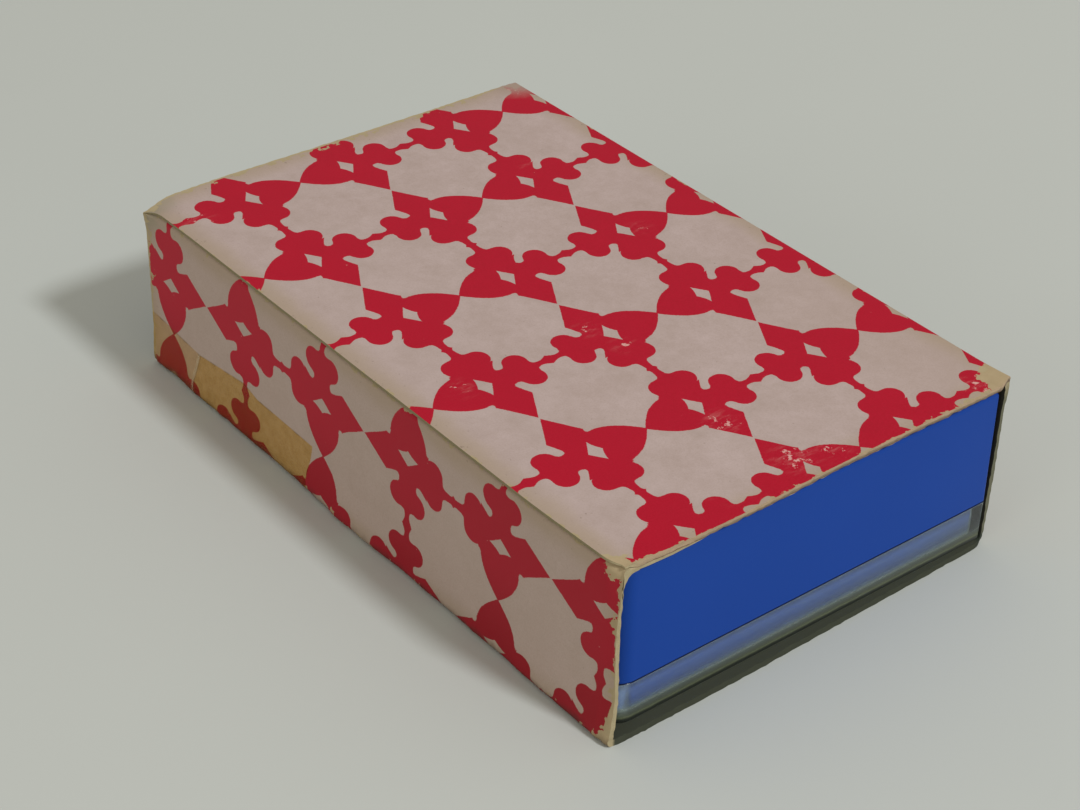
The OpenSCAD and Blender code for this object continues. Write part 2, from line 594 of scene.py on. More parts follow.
def lower_fold_grime_and_shade(paint, face):
    """How dark the grime and painted shade along the lower left fold are: less where that fold has
    split.
    """
    on_left = until(paint.x, 0.6 - HALF_W, 2.0 - HALF_W)
    level = paint.z + (face.coarse - 0.5) * 3.0 + (face.medium - 0.5) * 1.2
    return until(level, 0.1, 1.7) * on_left * (0.65 - fold_split(paint.y) * 0.4)


def paper_colour(paint, face):
    """Aged white board: pinkish in the middle, yellowed towards the edges and on the narrow sides."""
    cloud = unit((face.coarse - 0.5) * 1.6 + (face.medium - 0.5) * 0.9 + 0.5)
    shaded = step(paint.x, 6.0, 34.0) * until(paint.y, -38.0, 2.0)
    edge = low(face.front, face.back, face.fold * 1.1) + (face.coarse - 0.5) * 4.0
    yellowed = until(edge, 0.0, 4.5)
    fibres = unit((face.fibre - 0.45) * 2.0)
    specks = unit((face.fine - 0.5) * 4.0 + 0.3)
    corner = paint.gap(*CRUSHED_CORNER)
    crushed = until(corner + (face.medium - 0.5) * 4.0, 1.0, 6.0)
    tip = until(corner + (face.fine - 0.5) * 2.0, 0.8, 2.0)
    # Specks of grime, a little more towards the edges
    darkening = paint.grain(1.6, 3.0, 0.6, offset=8.0) + until(edge, -1.0, 5.0) * 0.06
    return paint.over(
        paint.mix(cloud, srgb(183, 164, 159), srgb(167, 148, 140)),
        (shaded * 0.5, srgb(164, 145, 133)),
        (face.side * 0.6, srgb(174, 155, 142)),
        (yellowed * 0.8, srgb(161, 142, 121)),
        (fibres * 0.45, srgb(150, 132, 120)),
        (specks * 0.22, srgb(148, 130, 118)),
        (crushed * 0.7, srgb(143, 136, 114)),
        (tip * 0.6, srgb(92, 92, 74)),
        (step(darkening, 0.68, 0.76) * 0.45, srgb(98, 86, 70)),
    )


def ink_colour(paint, face):
    """Red ink: uneven everywhere, and duller on the narrow sides, most at their front and foot."""
    thin = unit((face.fine - 0.5) * 4.0 + 0.3)
    thick = unit((0.46 - face.fine) * 5.0)
    dulled = until(paint.y, -45.0, 30.0) * 0.42 + until(paint.z, 3.0, 14.0) * 0.5
    return paint.over(
        paint.mix(face.coarse, srgb(171, 12, 38), srgb(161, 12, 36)),
        (thin * 0.35, srgb(182, 26, 52)),
        (thick * 0.3, srgb(148, 8, 32)),
        (face.side * 0.5, srgb(172, 48, 60)),
        (face.side * dulled, srgb(139, 28, 36)),
    )


def tape_stain(paint, face):
    """1 where the tape's glue has stained the left panel, and 1 along that stain's dirty upper edge."""
    uneven = (face.medium - 0.5) * 0.3 + (face.fine - 0.5) * 0.3
    rise = paint.z + uneven - polyline(paint.y, TAPE_TOP_EDGE)
    below = until(rise, -0.06, 0.06)
    behind = step(paint.y + uneven - polyline(paint.z, TAPE_FRONT_END), -0.06, 0.06)
    outside = until(paint.x, -HALF_W + 1.2, -HALF_W + 1.5)
    past_crease = step(paint.y - polyline(paint.z, TAPE_CREASE), -0.3, 0.3)
    covered = behind * outside
    dirty = until(size(rise), 0.05, 0.22) * covered * unit((face.medium - 0.42) * 5.0)
    return below * covered * (1.0 - past_crease * 0.35), dirty


def printed_board():
    """Aged white board with a red print, rubbed off along the folds and the open ends."""
    paint = Paint("printed_board")
    face = BoardFace(paint)
    ink = print_ink(face)
    gone = rubbed_through(paint, face)
    raw = paint.mix(face.medium, srgb(176, 160, 126), srgb(152, 137, 104))
    colour = paint.over(
        paint.mix(ink, paper_colour(paint, face), ink_colour(paint, face)),
        (scuffs(paint) * ink * 0.9, srgb(206, 158, 150)),
        (gone * 0.95, raw),
        (rubbed_corner(paint, face) * 0.9, srgb(154, 134, 122)),
        # Grime and painted shade along the lower left fold
        (lower_fold_grime_and_shade(paint, face), srgb(62, 42, 35)),
    )
    stain, dirty = tape_stain(paint, face)
    blotches = unit((face.medium - 0.5) * 3.0 + (face.fine - 0.5) * 2.0 + 0.5)
    glue = paint.mix(blotches, srgb(255, 231, 162), srgb(240, 212, 140))
    colour = paint.multiply(stain, colour, glue)
    colour = paint.multiply(stain * ink, colour, srgb(222, 205, 205))
    colour = paint.mix(dirty * 0.5, colour, srgb(104, 88, 58))
    rough = unit(0.58 + face.fine * 0.2 - ink * 0.12 + gone * 0.2)
    paint.set(Base_Color=colour, Roughness=rough, Specular_IOR_Level=0.1)
    paint.bump(face.fibre * 0.5 + face.fine * 0.4 + ink * 0.1 - gone * 0.6, 0.05, 0.45)
    return paint.material


def raw_board():
    """Cream core of the board at its cut edges and inside, darker low down with grime and painted shade,
    and with painted shade in the seam and beside the case.
    """
    paint = Paint("raw_board")
    medium = paint.grain(0.9, 3.0, 0.6, offset=2.0)
    fibre = paint.grain(7.0, 3.0, 0.65, offset=4.0)
    front = paint.y + HALF_L
    end = HALF_L - size(paint.y)
    from_left = paint.x + HALF_W
    # The top panel's cut edge is pinkish, with painted shade on its lower part or, beside the flap, a
    # dark line in between
    level = paint.z + (medium - 0.5) * 0.3
    at_top = step(paint.z, HEIGHT - 1.0, HEIGHT - 0.85) * step(from_left, 1.5, 4.0)
    below = at_top * until(level, HEIGHT - 0.62, HEIGHT - 0.38) * step(from_left, 9.0, 15.0)
    layer_gap = until(size(level - HEIGHT + 0.85), 0.04, 0.14) * step(from_left, 2.5, 5.0)
    # The right panel's edge is dark; painted shade darkens the slots beside the case and the seam, and
    # grime with painted shade darkens the lower panel
    right_edge = step(paint.x, HALF_W - 2.2, HALF_W - 0.9) * until(paint.z, HEIGHT - 4.0, HEIGHT)
    # Painted shade: the inner faces of the side panels near the open ends are nearly black
    slot = step(size(paint.normal()[0]), 0.5, 0.9) * until(end, 3.0, 9.0)
    # Painted shade in the seam under the lip, except near the front end
    lip_edge = until(from_left, 2.0, 2.6) * step(paint.z, HEIGHT - 1.8, HEIGHT - 1.3)
    # Grime and painted shade: low down, the board's inside and cut edges turn dark olive
    low_grime_and_shade = until(paint.z + (medium - 0.5) * 0.6, 1.0, 2.6) * step(from_left, 0.5, 1.0)
    colour = paint.over(
        paint.mix(medium, srgb(178, 164, 130), srgb(154, 141, 108)),
        (unit((fibre - 0.5) * 2.0) * 0.45, srgb(128, 113, 82)),
        (at_top * 0.55, srgb(178, 146, 122)),
        (below * 0.6, srgb(92, 86, 74)),
        (layer_gap * 0.6, srgb(96, 62, 52)),
        (right_edge * 0.85, srgb(84, 87, 72)),
        (slot * (1.0 - lip_edge) * 0.9, srgb(40, 38, 31)),
        (lip_edge * step(front, 0.5, 4.0) * 0.65, srgb(104, 97, 72)),
        (low_grime_and_shade * 0.94, srgb(47, 54, 45)),
    )
    paint.set(Base_Color=colour, Roughness=0.92, Specular_IOR_Level=0.15)
    paint.bump(fibre, 0.1, 0.7)
    return paint.material


def blue_plastic():
    """Satin moulded styrene with faint flow marks and fine scratches, painted shade on its rounded roof
    edges and a painted highlight on the upright corners of its right-hand side.
    """
    paint = Paint("blue_plastic")
    coarse = paint.grain(0.06, 2.0, 0.5, offset=1.0)
    fine = paint.grain(6.0, 2.0, 0.5, offset=2.0)
    streaks = paint.grain(1.0, 3.0, 0.6, at=paint.stretched(0.25, 0.25, 6.0), offset=3.0)
    slides = paint.grain(1.0, 3.0, 0.6, at=paint.stretched(5.0, 0.12, 5.0), offset=5.0)
    nx, ny, nz = [size(part) for part in paint.normal()]
    along = until(ny, 0.4, 0.8)
    scratch = unit(step(streaks, 0.66, 0.73) + step(slides, 0.62, 0.72) * along)
    # Painted shade on the rounded edges of the roof
    roof_edge_shade = step(nz, 0.3, 0.75) * until(nz, 0.85, 0.98)
    # Painted highlight on the upright corners, on the right-hand side
    corner_highlight = step(nx * ny, 0.3, 0.48) * step(paint.x, 0.0, 20.0)
    colour = paint.over(
        paint.mix(coarse, srgb(4, 57, 141), srgb(9, 61, 147)),
        (roof_edge_shade * 0.35, srgb(4, 38, 98)),
        (corner_highlight * 0.35, srgb(120, 128, 200)),
        (scratch * 0.08, srgb(90, 120, 190)),
    )
    rough = unit(0.40 + fine * 0.12 + scratch * 0.12)
    paint.set(Base_Color=colour, Roughness=rough, Specular_IOR_Level=0.2)
    paint.bump(fine * 0.6 + coarse * 2.0 - scratch * 0.3, 0.02, 0.3)
    return paint.material


def clear_plastic():
    """Clear moulded styrene, olive with dust towards its lower edge and dark along it with painted
    shade, with a painted shadow line at its top edge and a painted highlight on its upright corners.
    """
    paint = Paint("clear_plastic")
    haze = paint.grain(0.4, 3.0, 0.6, offset=1.0)
    fine = paint.grain(3.0, 2.0, 0.5, offset=2.0)
    nx, ny, nz = [size(part) for part in paint.normal()]
    upright = until(nz, 0.75, 0.95)
    # Painted highlight: the upright corners are a little less clear, and so paler
    corner = step(nx * ny, 0.1, 0.4) * upright
    level = paint.z - LID_LOW.z + (haze - 0.5) * 0.3
    dust = until(level, 1.0, 3.0) * upright
    # Painted shade: along the lower edge the plastic is dark and nearly opaque
    darkening = until(level, 0.8, 1.4) * upright
    # Painted shadow line: a dark, nearly opaque band along the top edge at the parting
    parting = step(paint.z, LID_HIGH.z - 0.18, LID_HIGH.z - 0.08)
    colour = paint.over(
        srgb(226, 250, 254),
        (dust, srgb(150, 160, 118)),
        (darkening, srgb(40, 44, 38)),
        (parting, srgb(18, 30, 66)),
    )
    rough = unit(0.2 + step(haze, 0.45, 0.8) * 0.06 + dust * 0.2)
    clear = unit(0.98 - corner * 0.1 - dust * 0.14 - darkening * 0.7 - parting * 0.9)
    paint.set(Base_Color=colour, Roughness=rough, Specular_IOR_Level=0.4)
    paint.set(Transmission_Weight=clear, IOR=1.5)
    paint.bump(fine, 0.01, 0.12)
    return paint.material


def tape_film():
    """Thin adhesive film: clear and shiny, since the amber of its glue is in the board below."""
    paint = Paint("tape_film")
    medium = paint.grain(0.5, 3.0, 0.6, offset=1.0)
    fine = paint.grain(3.0, 2.0, 0.5, offset=2.0)
    crease = size(paint.y - polyline(paint.z, TAPE_CREASE))
    amber = paint.mix(medium, srgb(196, 160, 96), srgb(176, 140, 76))
    colour = paint.mix(until(crease, 0.15, 0.5), amber, srgb(205, 185, 150))
    alpha = unit(0.01 + medium * 0.04 + until(crease, 0.1, 0.45) * 0.25)
    rough = unit(0.25 + fine * 0.2)
    paint.set(Base_Color=colour, Alpha=alpha, Roughness=rough, Specular_IOR_Level=0.3)
    paint.bump(medium * 2.0 + fine * 0.3, 0.05, 0.4)
    return paint.material


def card_stock():
    """Pale plastic card with a linen press, and a plain diaper back on its lower side."""
    paint = Paint("card_stock")

    def past(half_w, half_l):
        return high(size(paint.x) - half_w, size(paint.y) - half_l)

    def diagonal(place):
        return calc("PINGPONG", place, DIAPER_STEP) * math.sqrt(0.5)

    fine = paint.grain(2.0, 2.0, 0.5, offset=1.0)
    stock = paint.mix(fine, srgb(240, 236, 224), srgb(230, 225, 210))
    lines = low(diagonal(paint.x + paint.y), diagonal(paint.x - paint.y))
    bare = until(lines, 0.22, 0.30)
    field = until(past(*BACK_FIELD), -0.05, 0.05) * unit(1.0 - bare * 0.9)
    border = until(size(past(*BACK_FRAME)), 0.28, 0.34)
    back = unit(field + border) * until(paint.normal()[2], -0.6, -0.4)
    colour = paint.mix(back, stock, srgb(170, 34, 52))
    paint.set(Base_Color=colour, Roughness=unit(0.36 + fine * 0.15))
    weave = calc("SINE", paint.x * LINEN) + calc("SINE", paint.y * LINEN)
    paint.bump(weave, 0.01, 0.4)
    return paint.material


def floor_paint():
    """Matt pale paint with the faintest clouds."""
    paint = Paint("floor_paint")
    cloud = paint.grain(0.01, 3.0, 0.5, offset=1.0)
    colour = paint.mix(cloud, srgb(187, 190, 184), srgb(182, 185, 179))
    paint.set(Base_Color=colour, Roughness=0.75, Specular_IOR_Level=0.05)
    return paint.material


# Meshes, written in millimetres

def mesh_object(name, points, faces, materials):
    mesh = bpy.data.meshes.new(name)
    mesh.from_pydata([Vector(p) * MM for p in points], [], faces)
    for material in materials:
        mesh.materials.append(material)
    for polygon in mesh.polygons:
        polygon.use_smooth = True
    piece = bpy.data.objects.new(name, mesh)
    bpy.context.scene.collection.objects.link(piece)
    return piece


def spread(start, end, count, crowd=0.6):
    """Places from start to end, closer together towards both."""
    places = []
    for index in range(count + 1):
        even = index / count
        eased = 0.5 - 0.5 * math.cos(math.pi * even)
        places.append(start + (end - start) * ((1 - crowd) * even + crowd * eased))
    return places


def between(first, second, share):
    return tuple(f + (s - f) * share for f, s in zip(first, second))


def wave(x, y, z, scale, seed):
    return noise.noise(Vector((x * scale + seed, y * scale - seed, z * scale + 2 * seed)))


class SheetPoint:
    """A place across the sleeve's blank: its outer and inner points, and how the print lies there."""

    def __init__(self, outer, inner, panel):
        self.outer = outer
        self.inner = inner
        self.panel = panel
        self.run = self.fold = self.cell = 0.0
        self.drift = self.shift = self.side = 0.0


def blank_section():
    """The blank's outline from the top panel's cut edge round to the end of the glue flap."""
    section = []
    left, right = -HALF_W, HALF_W
    turn_z = HEIGHT - LIP_T - GLUE_LINE - TURN_R
    seam_z = HEIGHT - BOARD
    flap_z = seam_z - FLAP_T
    flap_end = left + BOARD + FLAP_W
    gap = GLUE_LINE / 2

    def straight(panel, count, outer, inner):
        skip = 1 if section and section[-1].outer == outer[0] else 0
        for share in spread(0, 1, count)[skip:]:
            section.append(SheetPoint(between(*outer, share), between(*inner, share), panel))

    def fold(start, outer, inner):
        for index in range(1, FOLD_STEPS):
            angle = math.radians(start - 90 * index / FOLD_STEPS)
            way = (math.cos(angle), math.sin(angle))
            ends = [(x + radius * way[0], z + radius * way[1]) for x, z, radius in (outer, inner)]
            section.append(SheetPoint(*ends, "fold"))

    # Top panel: a thin pressed lip at its cut edge, then full board
    lip = [
        (left, HEIGHT),
        (left + TURN_R, HEIGHT),
        (left + LIP_REACH, HEIGHT),
        (right - CREASE_R, HEIGHT),
    ]
    under = [
        (left, HEIGHT - LIP_T),
        (left + TURN_R, HEIGHT - LIP_T - gap),
        (left + LIP_REACH, seam_z),
        (right - FOLD_R, seam_z),
    ]
    for index, count in enumerate(TOP_STEPS):
        straight("top", count, lip[index:index + 2], under[index:index + 2])

    # Right panel, bottom panel and left panel, each after its fold
    inner_r = FOLD_R - BOARD
    inside = right - BOARD
    crease = (right - CREASE_R, HEIGHT - CREASE_R, CREASE_R)
    fold(90, crease, (right - FOLD_R, HEIGHT - FOLD_R, inner_r))
    outer = [(right, HEIGHT - CREASE_R), (right, FOLD_R)]
    straight("right", RIGHT_STEPS, outer, [(inside, HEIGHT - FOLD_R), (inside, FOLD_R)])
    corner = (right - FOLD_R, FOLD_R)
    fold(0, (*corner, FOLD_R), (*corner, inner_r))
    near, far = right - FOLD_R, left + LEFT_FOLD_R
    straight("bottom", BOTTOM_STEPS, [(near, 0.0), (far, 0.0)], [(near, BOARD), (far, BOARD)])
    corner = (left + LEFT_FOLD_R, LEFT_FOLD_R)
    fold(-90, (*corner, LEFT_FOLD_R), (*corner, LEFT_FOLD_R - BOARD))
    inside = left + BOARD
    fillet_z = turn_z - INNER_FILLET
    outer = [(left, LEFT_FOLD_R), (left, turn_z)]
    straight("left", LEFT_STEPS, outer, [(inside, LEFT_FOLD_R), (inside, fillet_z)])

    # The left panel turns in under the lip and becomes the flap
    fold(180, (left + TURN_R, turn_z, TURN_R), (inside + INNER_FILLET, fillet_z, INNER_FILLET))
    upper = [
        (left + TURN_R, turn_z + TURN_R),
        (left + LIP_REACH, seam_z - gap),
        (flap_end - FLAP_TAPER, seam_z - gap),
        (flap_end, seam_z - gap),
    ]
    lower = [
        (inside + INNER_FILLET, turn_z),
        (left + LIP_REACH, flap_z),
        (flap_end - FLAP_TAPER, flap_z),
        (flap_end, seam_z - 2 * gap),
    ]
    for index, count in enumerate(FLAP_STEPS):
        straight("flap", count, upper[index:index + 2], lower[index:index + 2])

    for before, after in zip(section, section[1:]):
        after.run = before.run + math.dist(before.outer, after.outer)
    return section


def place_print(section):
    """Gives each place its cell of the trellis and its distance to the nearest fold or edge."""
    top_end = [p for p in section if p.panel == "top"][-1]
    left_panel = [p for p in section if p.panel == "left"]
    left_start = left_panel[0]

    def top_cell(p):
        return (p.outer[0] + HALF_W - FIRST_COLUMN) / CELL_W

    first_side_cell = SIDE_COLUMN_INDEX + (left_start.outer[1] - (HEIGHT - SIDE_ROW)) / SIDE_CELL
    folds = [0.0, left_panel[-1].run + TURN_R]
    for before, after in zip(section, section[1:]):
        if before.panel != "fold" and after.panel == "fold":
            start = before.run
        if before.panel == "fold" and after.panel != "fold":
            folds.append((start + after.run) / 2)
    for p in section:
        p.fold = min(abs(p.run - place) for place in folds)
        share = unit((p.run - top_end.run) / (left_start.run - top_end.run))
        if p.panel == "top":
            p.cell = top_cell(p)
            p.shift = TOP_SKEW * p.outer[0]
        else:
            climbed = max(p.run - left_start.run, 0.0)
            crowded = climbed - SIDE_CROWD * fade(climbed, SIDE_CROWD_REACH)
            p.cell = top_cell(top_end) * (1 - share) + (first_side_cell + crowded / SIDE_CELL) * share
            p.shift = TOP_SKEW * top_end.outer[0] * (1 - share) + SIDE_SHIFT * share
            p.shift += SIDE_SKEW * climbed
        p.drift = -SIDE_DRIFT / SIDE_CELL * share
        p.side = share


def print_place(p, y):
    """Column and row of the trellis at a place of the sheet, counted in cells."""
    slip = fade(y + HALF_L, FRONT_SLIP_REACH) * (1.0 - p.side)
    squeeze = RIGHT_SQUEEZE + RIGHT_SQUEEZE_RISE * y
    squeeze *= fade(HALF_W - p.outer[0], RIGHT_SQUEEZE_REACH) * (1.0 - p.side)
    column = p.cell + p.drift * y
    column += (squeeze - FRONT_SLIP_X * slip * front_hump(p.outer[0])) / CELL_W
    row = (y - FRONT_SLIP_Y * slip - p.shift - (HALF_L - FIRST_ROW)) / CELL_L
    return column, row


def end_stations():
    """Places along the sleeve, crowded at both open ends."""
    middle_end = HALF_L - MIDDLE_INSET
    middle = spread(-middle_end, middle_end, MIDDLE_STEPS, crowd=0.2)
    return [-HALF_L + d for d in END_STEPS] + middle + [HALF_L - d for d in reversed(END_STEPS)]


def bent(panel, x, y, z, depth):
    """The top hangs a little beside the flap and is thin at its front edge, and the sides bulge."""
    sag, sag_middle, sag_half = 0.12, 6.0, 25.0
    thin, thin_uneven, thin_reach, thin_start, thin_run = 0.08, 0.2, 2.5, -29.0, 7.0
    bulge = 0.14
    thinned = (thin + thin_uneven * wave(x, 0, 0, 0.9, 3.0)) * fade(y + HALF_L, thin_reach)
    thinned *= unit((x - thin_start) / thin_run)
    if panel == "top":
        z += thinned * depth - sag * max(0.0, 1.0 - ((x - sag_middle) / sag_half) ** 2)
    if panel == "flap":
        z += thinned
    if panel in ("left", "right"):
        out = bulge * math.sin(math.pi * z / HEIGHT) * (0.7 + wave(0, y, z, 0.04, 7.0))
        x += math.copysign(out, x)
    return x, z


def lean(y):
    """How far the left panel stands out at its uneven lower fold."""
    least, wavy, rippled = 0.3, 0.6, 0.4
    uneven = wavy * abs(wave(0, y, 0, 0.16, 17.0)) + rippled * abs(wave(0, y, 0, 0.6, 29.0))
    return least + uneven + SPLIT_OUT * fold_split(y)


def frayed(x, z, depth):
    """How far a cut end is worn back: unevenly, in fibres, and more at its corners."""
    least, at_corner, corner_reach = 0.1, 0.2, 2.2
    fibres = 0.08 * wave(x, 0, z, 0.5, 11.0) + 0.12 * wave(x, 0, z, 1.5, 5.0)
    fibres += 0.08 * wave(x, 4.0 * depth, z, 1.8, 23.0)
    corner = fade(math.hypot(HALF_W - abs(x), min(z, HEIGHT - z)), corner_reach)
    return least + fibres + at_corner * corner


def worn_corners(x, y, z, depth):
    """The front right top corner is swollen and set back, and the front left one blunted."""
    swell, swell_reach, swell_loss = 0.35, 5.0, 0.4
    set_back, set_back_reach = 0.6, 2.6
    blunt, blunt_reach = 0.25, 3.5
    knob = fade(math.dist((x, y, z), (HALF_W, -HALF_L, HEIGHT)), swell_reach)
    x += swell * knob * (1.0 - swell_loss * depth)
    y += set_back * fade(math.dist((x, y), (HALF_W, -HALF_L)), set_back_reach) ** 2
    near = fade(math.dist((x, y, z), (-HALF_W, -HALF_L, HEIGHT)), blunt_reach)
    z -= blunt * near ** 2 * (1.0 - depth)
    return x, y, z


def front_inset(panel, z, depth, front, from_left):
    """How far the left panel's front end stands in: pressed, splayed at its foot and worn round."""
    press, press_reach, press_width = 0.5, 16.0, 4.0
    splay, splay_rise = 0.75, 7.0
    wear, wear_at_top, wear_drop, wear_reach, wear_width = 0.25, 0.55, 8.0, 2.5, 3.0
    pressed = (press - splay * fade(z, splay_rise)) * fade(front, press_reach) ** 1.2
    rounded = (wear + wear_at_top * fade(HEIGHT - z, wear_drop)) * fade(front, wear_reach) ** 1.5
    if panel != "top":
        rounded *= 1.0 - depth
    return pressed * fade(from_left, press_width) + rounded * fade(from_left, wear_width)


def crushed_corner(x, y, z):
    """The back left corner of the top is crushed, blunt and curls out."""
    base = HEIGHT - 1.45
    crush_reach, crush_spread = 4.5, 12.0
    curl_reach, curl_out, curl_back, curl_up = 4.0, 0.9, 0.7, 0.35
    gap = math.hypot(x + HALF_W, HALF_L - y)
    crush = unit(0.95 * fade(gap, crush_reach) ** 1.6 + 0.2 * fade(gap, crush_spread))
    if z > base:
        z = base + (z - base) * (1.0 - 0.9 * crush)
    corner = fade(math.dist((x, y, z), CRUSHED_CORNER), curl_reach)
    return x - curl_out * corner ** 1.5, y - curl_back * corner ** 2, z + curl_up * corner ** 2


def worn(panel, x, y, z, depth):
    """Where a point of the new sleeve lies on the worn one; depth is 0 outside and 1 inside."""
    lean_reach, lean_rise, fray_reach = 5.0, 6.0, 2.0
    end, front, from_left = HALF_L - abs(y), y + HALF_L, x + HALF_W
    x, z = bent(panel, x, y, z, depth)
    if panel != "top":
        x -= lean(y) * fade(from_left, lean_reach) * fade(z, lean_rise)
    y -= math.copysign(frayed(x, z, depth) * fade(end, fray_reach) ** 2, y)
    x, y, z = worn_corners(x, y, z, depth)
    x += front_inset(panel, z, depth, front, from_left)
    x, y, z = crushed_corner(x, y, z)
    return x, y, max(z, 0.0)


def sheet_cells(columns, rows, layers):
    """Faces round a sheet with thickness; a corner is (column, row, layer), and layer 0 is outside."""
    right, back, inner = columns - 1, rows - 1, layers - 1
    cells = []
    for i in range(right):
        for j in range(back):
            cells.append([(i, j, 0), (i + 1, j, 0), (i + 1, j + 1, 0), (i, j + 1, 0)])
            cells.append([(i, j + 1, inner), (i + 1, j + 1, inner), (i + 1, j, inner), (i, j, inner)])
        for k in range(inner):
            cells.append([(i, 0, k + 1), (i + 1, 0, k + 1), (i + 1, 0, k), (i, 0, k)])
            cells.append([(i, back, k), (i + 1, back, k), (i + 1, back, k + 1), (i, back, k + 1)])
    for j in range(back):
        for k in range(inner):
            cells.append([(0, j, k), (0, j + 1, k), (0, j + 1, k + 1), (0, j, k + 1)])
            cells.append([(right, j + 1, k), (right, j, k), (right, j, k + 1), (right, j + 1, k + 1)])
    return cells


def numbered(cells):
    """The corners of cells, each once, and the cells with numbers for their corners."""
    number = {}
    faces = [[number.setdefault(corner, len(number)) for corner in corners] for corners in cells]
    return list(number), faces


def sleeve_piece(outside, core):
    """The folded blank as a sheet with thickness: printed outside, raw inside and at its cut edges."""
    section = blank_section()
    place_print(section)
    stations = end_stations()
    cells = sheet_cells(len(section), len(stations), len(BOARD_LAYERS))
    corners, faces = numbered(cells)
    points, sheet = [], []
    for i, j, k in corners:
        p, y, depth = section[i], stations[j], BOARD_LAYERS[k]
        x, z = between(p.outer, p.inner, depth)
        y -= front_bow(x, z) * fade(y + HALF_L, BOW_REACH)
        points.append(worn(p.panel, x, y, z, depth))
        sheet += (*print_place(p, y), p.fold)
    piece = mesh_object("slip_sleeve", points, faces, [outside, core])
    for polygon, cell in zip(piece.data.polygons, cells):
        on_flap = section[cell[0][0]].panel == "flap"
        polygon.material_index = 1 if on_flap or any(k > 0 for i, j, k in cell) else 0
    attribute = piece.data.attributes.new("sheet", "FLOAT_VECTOR", "POINT")
    attribute.data.foreach_set("vector", sheet)
    piece.data.set_sharp_from_angle(angle=math.radians(50))
    return piece


def ring(inset, z, least_r, arc_steps=10, side_steps=6):
    """Points round the case at a height, set in from its outline."""
    half_w, half_l = CASE_HALF_W - inset, CASE_HALF_L - inset
    left_r, right_r = [max(radius - inset, least_r) for radius in CASE_CORNERS]
    corners = ((1, 1, 0, right_r), (-1, 1, 90, left_r), (-1, -1, 180, left_r), (1, -1, 270, right_r))
    arcs = []
    for side_x, side_y, start, radius in corners:
        centre_x, centre_y = side_x * (half_w - radius), side_y * (half_l - radius)
        arc = []
        for n in range(arc_steps + 1):
            angle = math.radians(start + 90 * n / arc_steps)
            x = CASE_SHIFT + centre_x + radius * math.cos(angle)
            arc.append((x, centre_y + radius * math.sin(angle), z))
        arcs.append(arc)
    loop = []
    for arc, following in zip(arcs, arcs[1:] + arcs[:1]):
        loop += arc
        loop += [between(arc[-1], following[0], n / side_steps) for n in range(1, side_steps)]
    return loop


def shell(rings):
    """Points and faces of a closed shell through rings, flat over the first and the last."""
    count = len(rings[0])
    points = [p for loop in rings for p in loop]
    faces = [list(range(count))[::-1]]
    for r in range(len(rings) - 1):
        for n in range(count):
            m = (n + 1) % count
            faces.append([r * count + n, r * count + m, (r + 1) * count + m, (r + 1) * count + n])
    faces.append([(len(rings) - 1) * count + n for n in range(count)])
    return points, faces


def shell_object(name, points, faces, material):
    piece = mesh_object(name, points, faces, [material])
    piece.data.set_sharp_from_angle(angle=math.radians(35))
    return piece


def edge_round(inset, z, radius, outward, steps=7):
    """Inset and height along a quarter round, from the side face to the flat face."""
    arc = []
    for n in range(steps + 1):
        angle = math.radians(90 * n / steps)
        arc.append((inset + radius * (1 - math.cos(angle)), z + outward * radius * math.sin(angle)))
    return arc


def inner_fillet(inset, z, radius, way):
    """Inset and height from an inner wall round to the flat face at z; way is 1 for a face above."""
    middle = 0.3 * radius
    return [(inset, z - way * radius), (inset + middle, z - way * middle), (inset + radius, z)]


def lid_piece(material):
    """Clear lid: floor plate with round lower edges, wall, and a pocket for the tray's rim."""
    base_inset, floor_inset, least_r = 6.0, 8.0, 0.6
    bevel, pocket_bevel, fillet, floor_ease = 0.02, 0.08, 0.4, 0.03
    bottom, edge = LID_LOW.z, LID_HIGH.z - SEAT_GAP
    floor = bottom + LID_FLOOR - floor_ease
    outline = [(base_inset, bottom)]
    outline += reversed(edge_round(0.0, bottom + LID_EDGE_R, LID_EDGE_R, -1))
    outline += [(0.0, edge - bevel), (bevel, edge)]
    outline += [(LID_WALL - pocket_bevel, edge), (LID_WALL, edge - pocket_bevel)]
    outline += inner_fillet(LID_WALL, floor, fillet, -1)
    outline += [(floor_inset, floor)]
    points, faces = shell([ring(inset, z, least_r) for inset, z in outline])
    return shell_object("clear_lid", points, faces, material)


def stop_rib(side_x, side_y):
    """Rings of one of the four ribs that keep the deck off the tray's end walls."""
    root_sink, lift, roof_sink, bevel = 0.3, 0.1, 0.2, 0.25
    wall = CASE_HALF_L - TRAY_WALL
    root, tip = wall + root_sink, wall - STOP_DEPTH
    half = STOP_W / 2
    right = [(half, root), (half, tip + bevel), (half - bevel, tip)]
    plan = [(-x, y) for x, y in right] + right[::-1]
    middle = CASE_SHIFT + side_x * STOP_PITCH / 2
    heights = (TRAY_LOW.z + lift, TRAY_HIGH.z - TRAY_ROOF + roof_sink)
    return [[(middle + x, side_y * y, z) for x, y in plan[::side_y]] for z in heights]


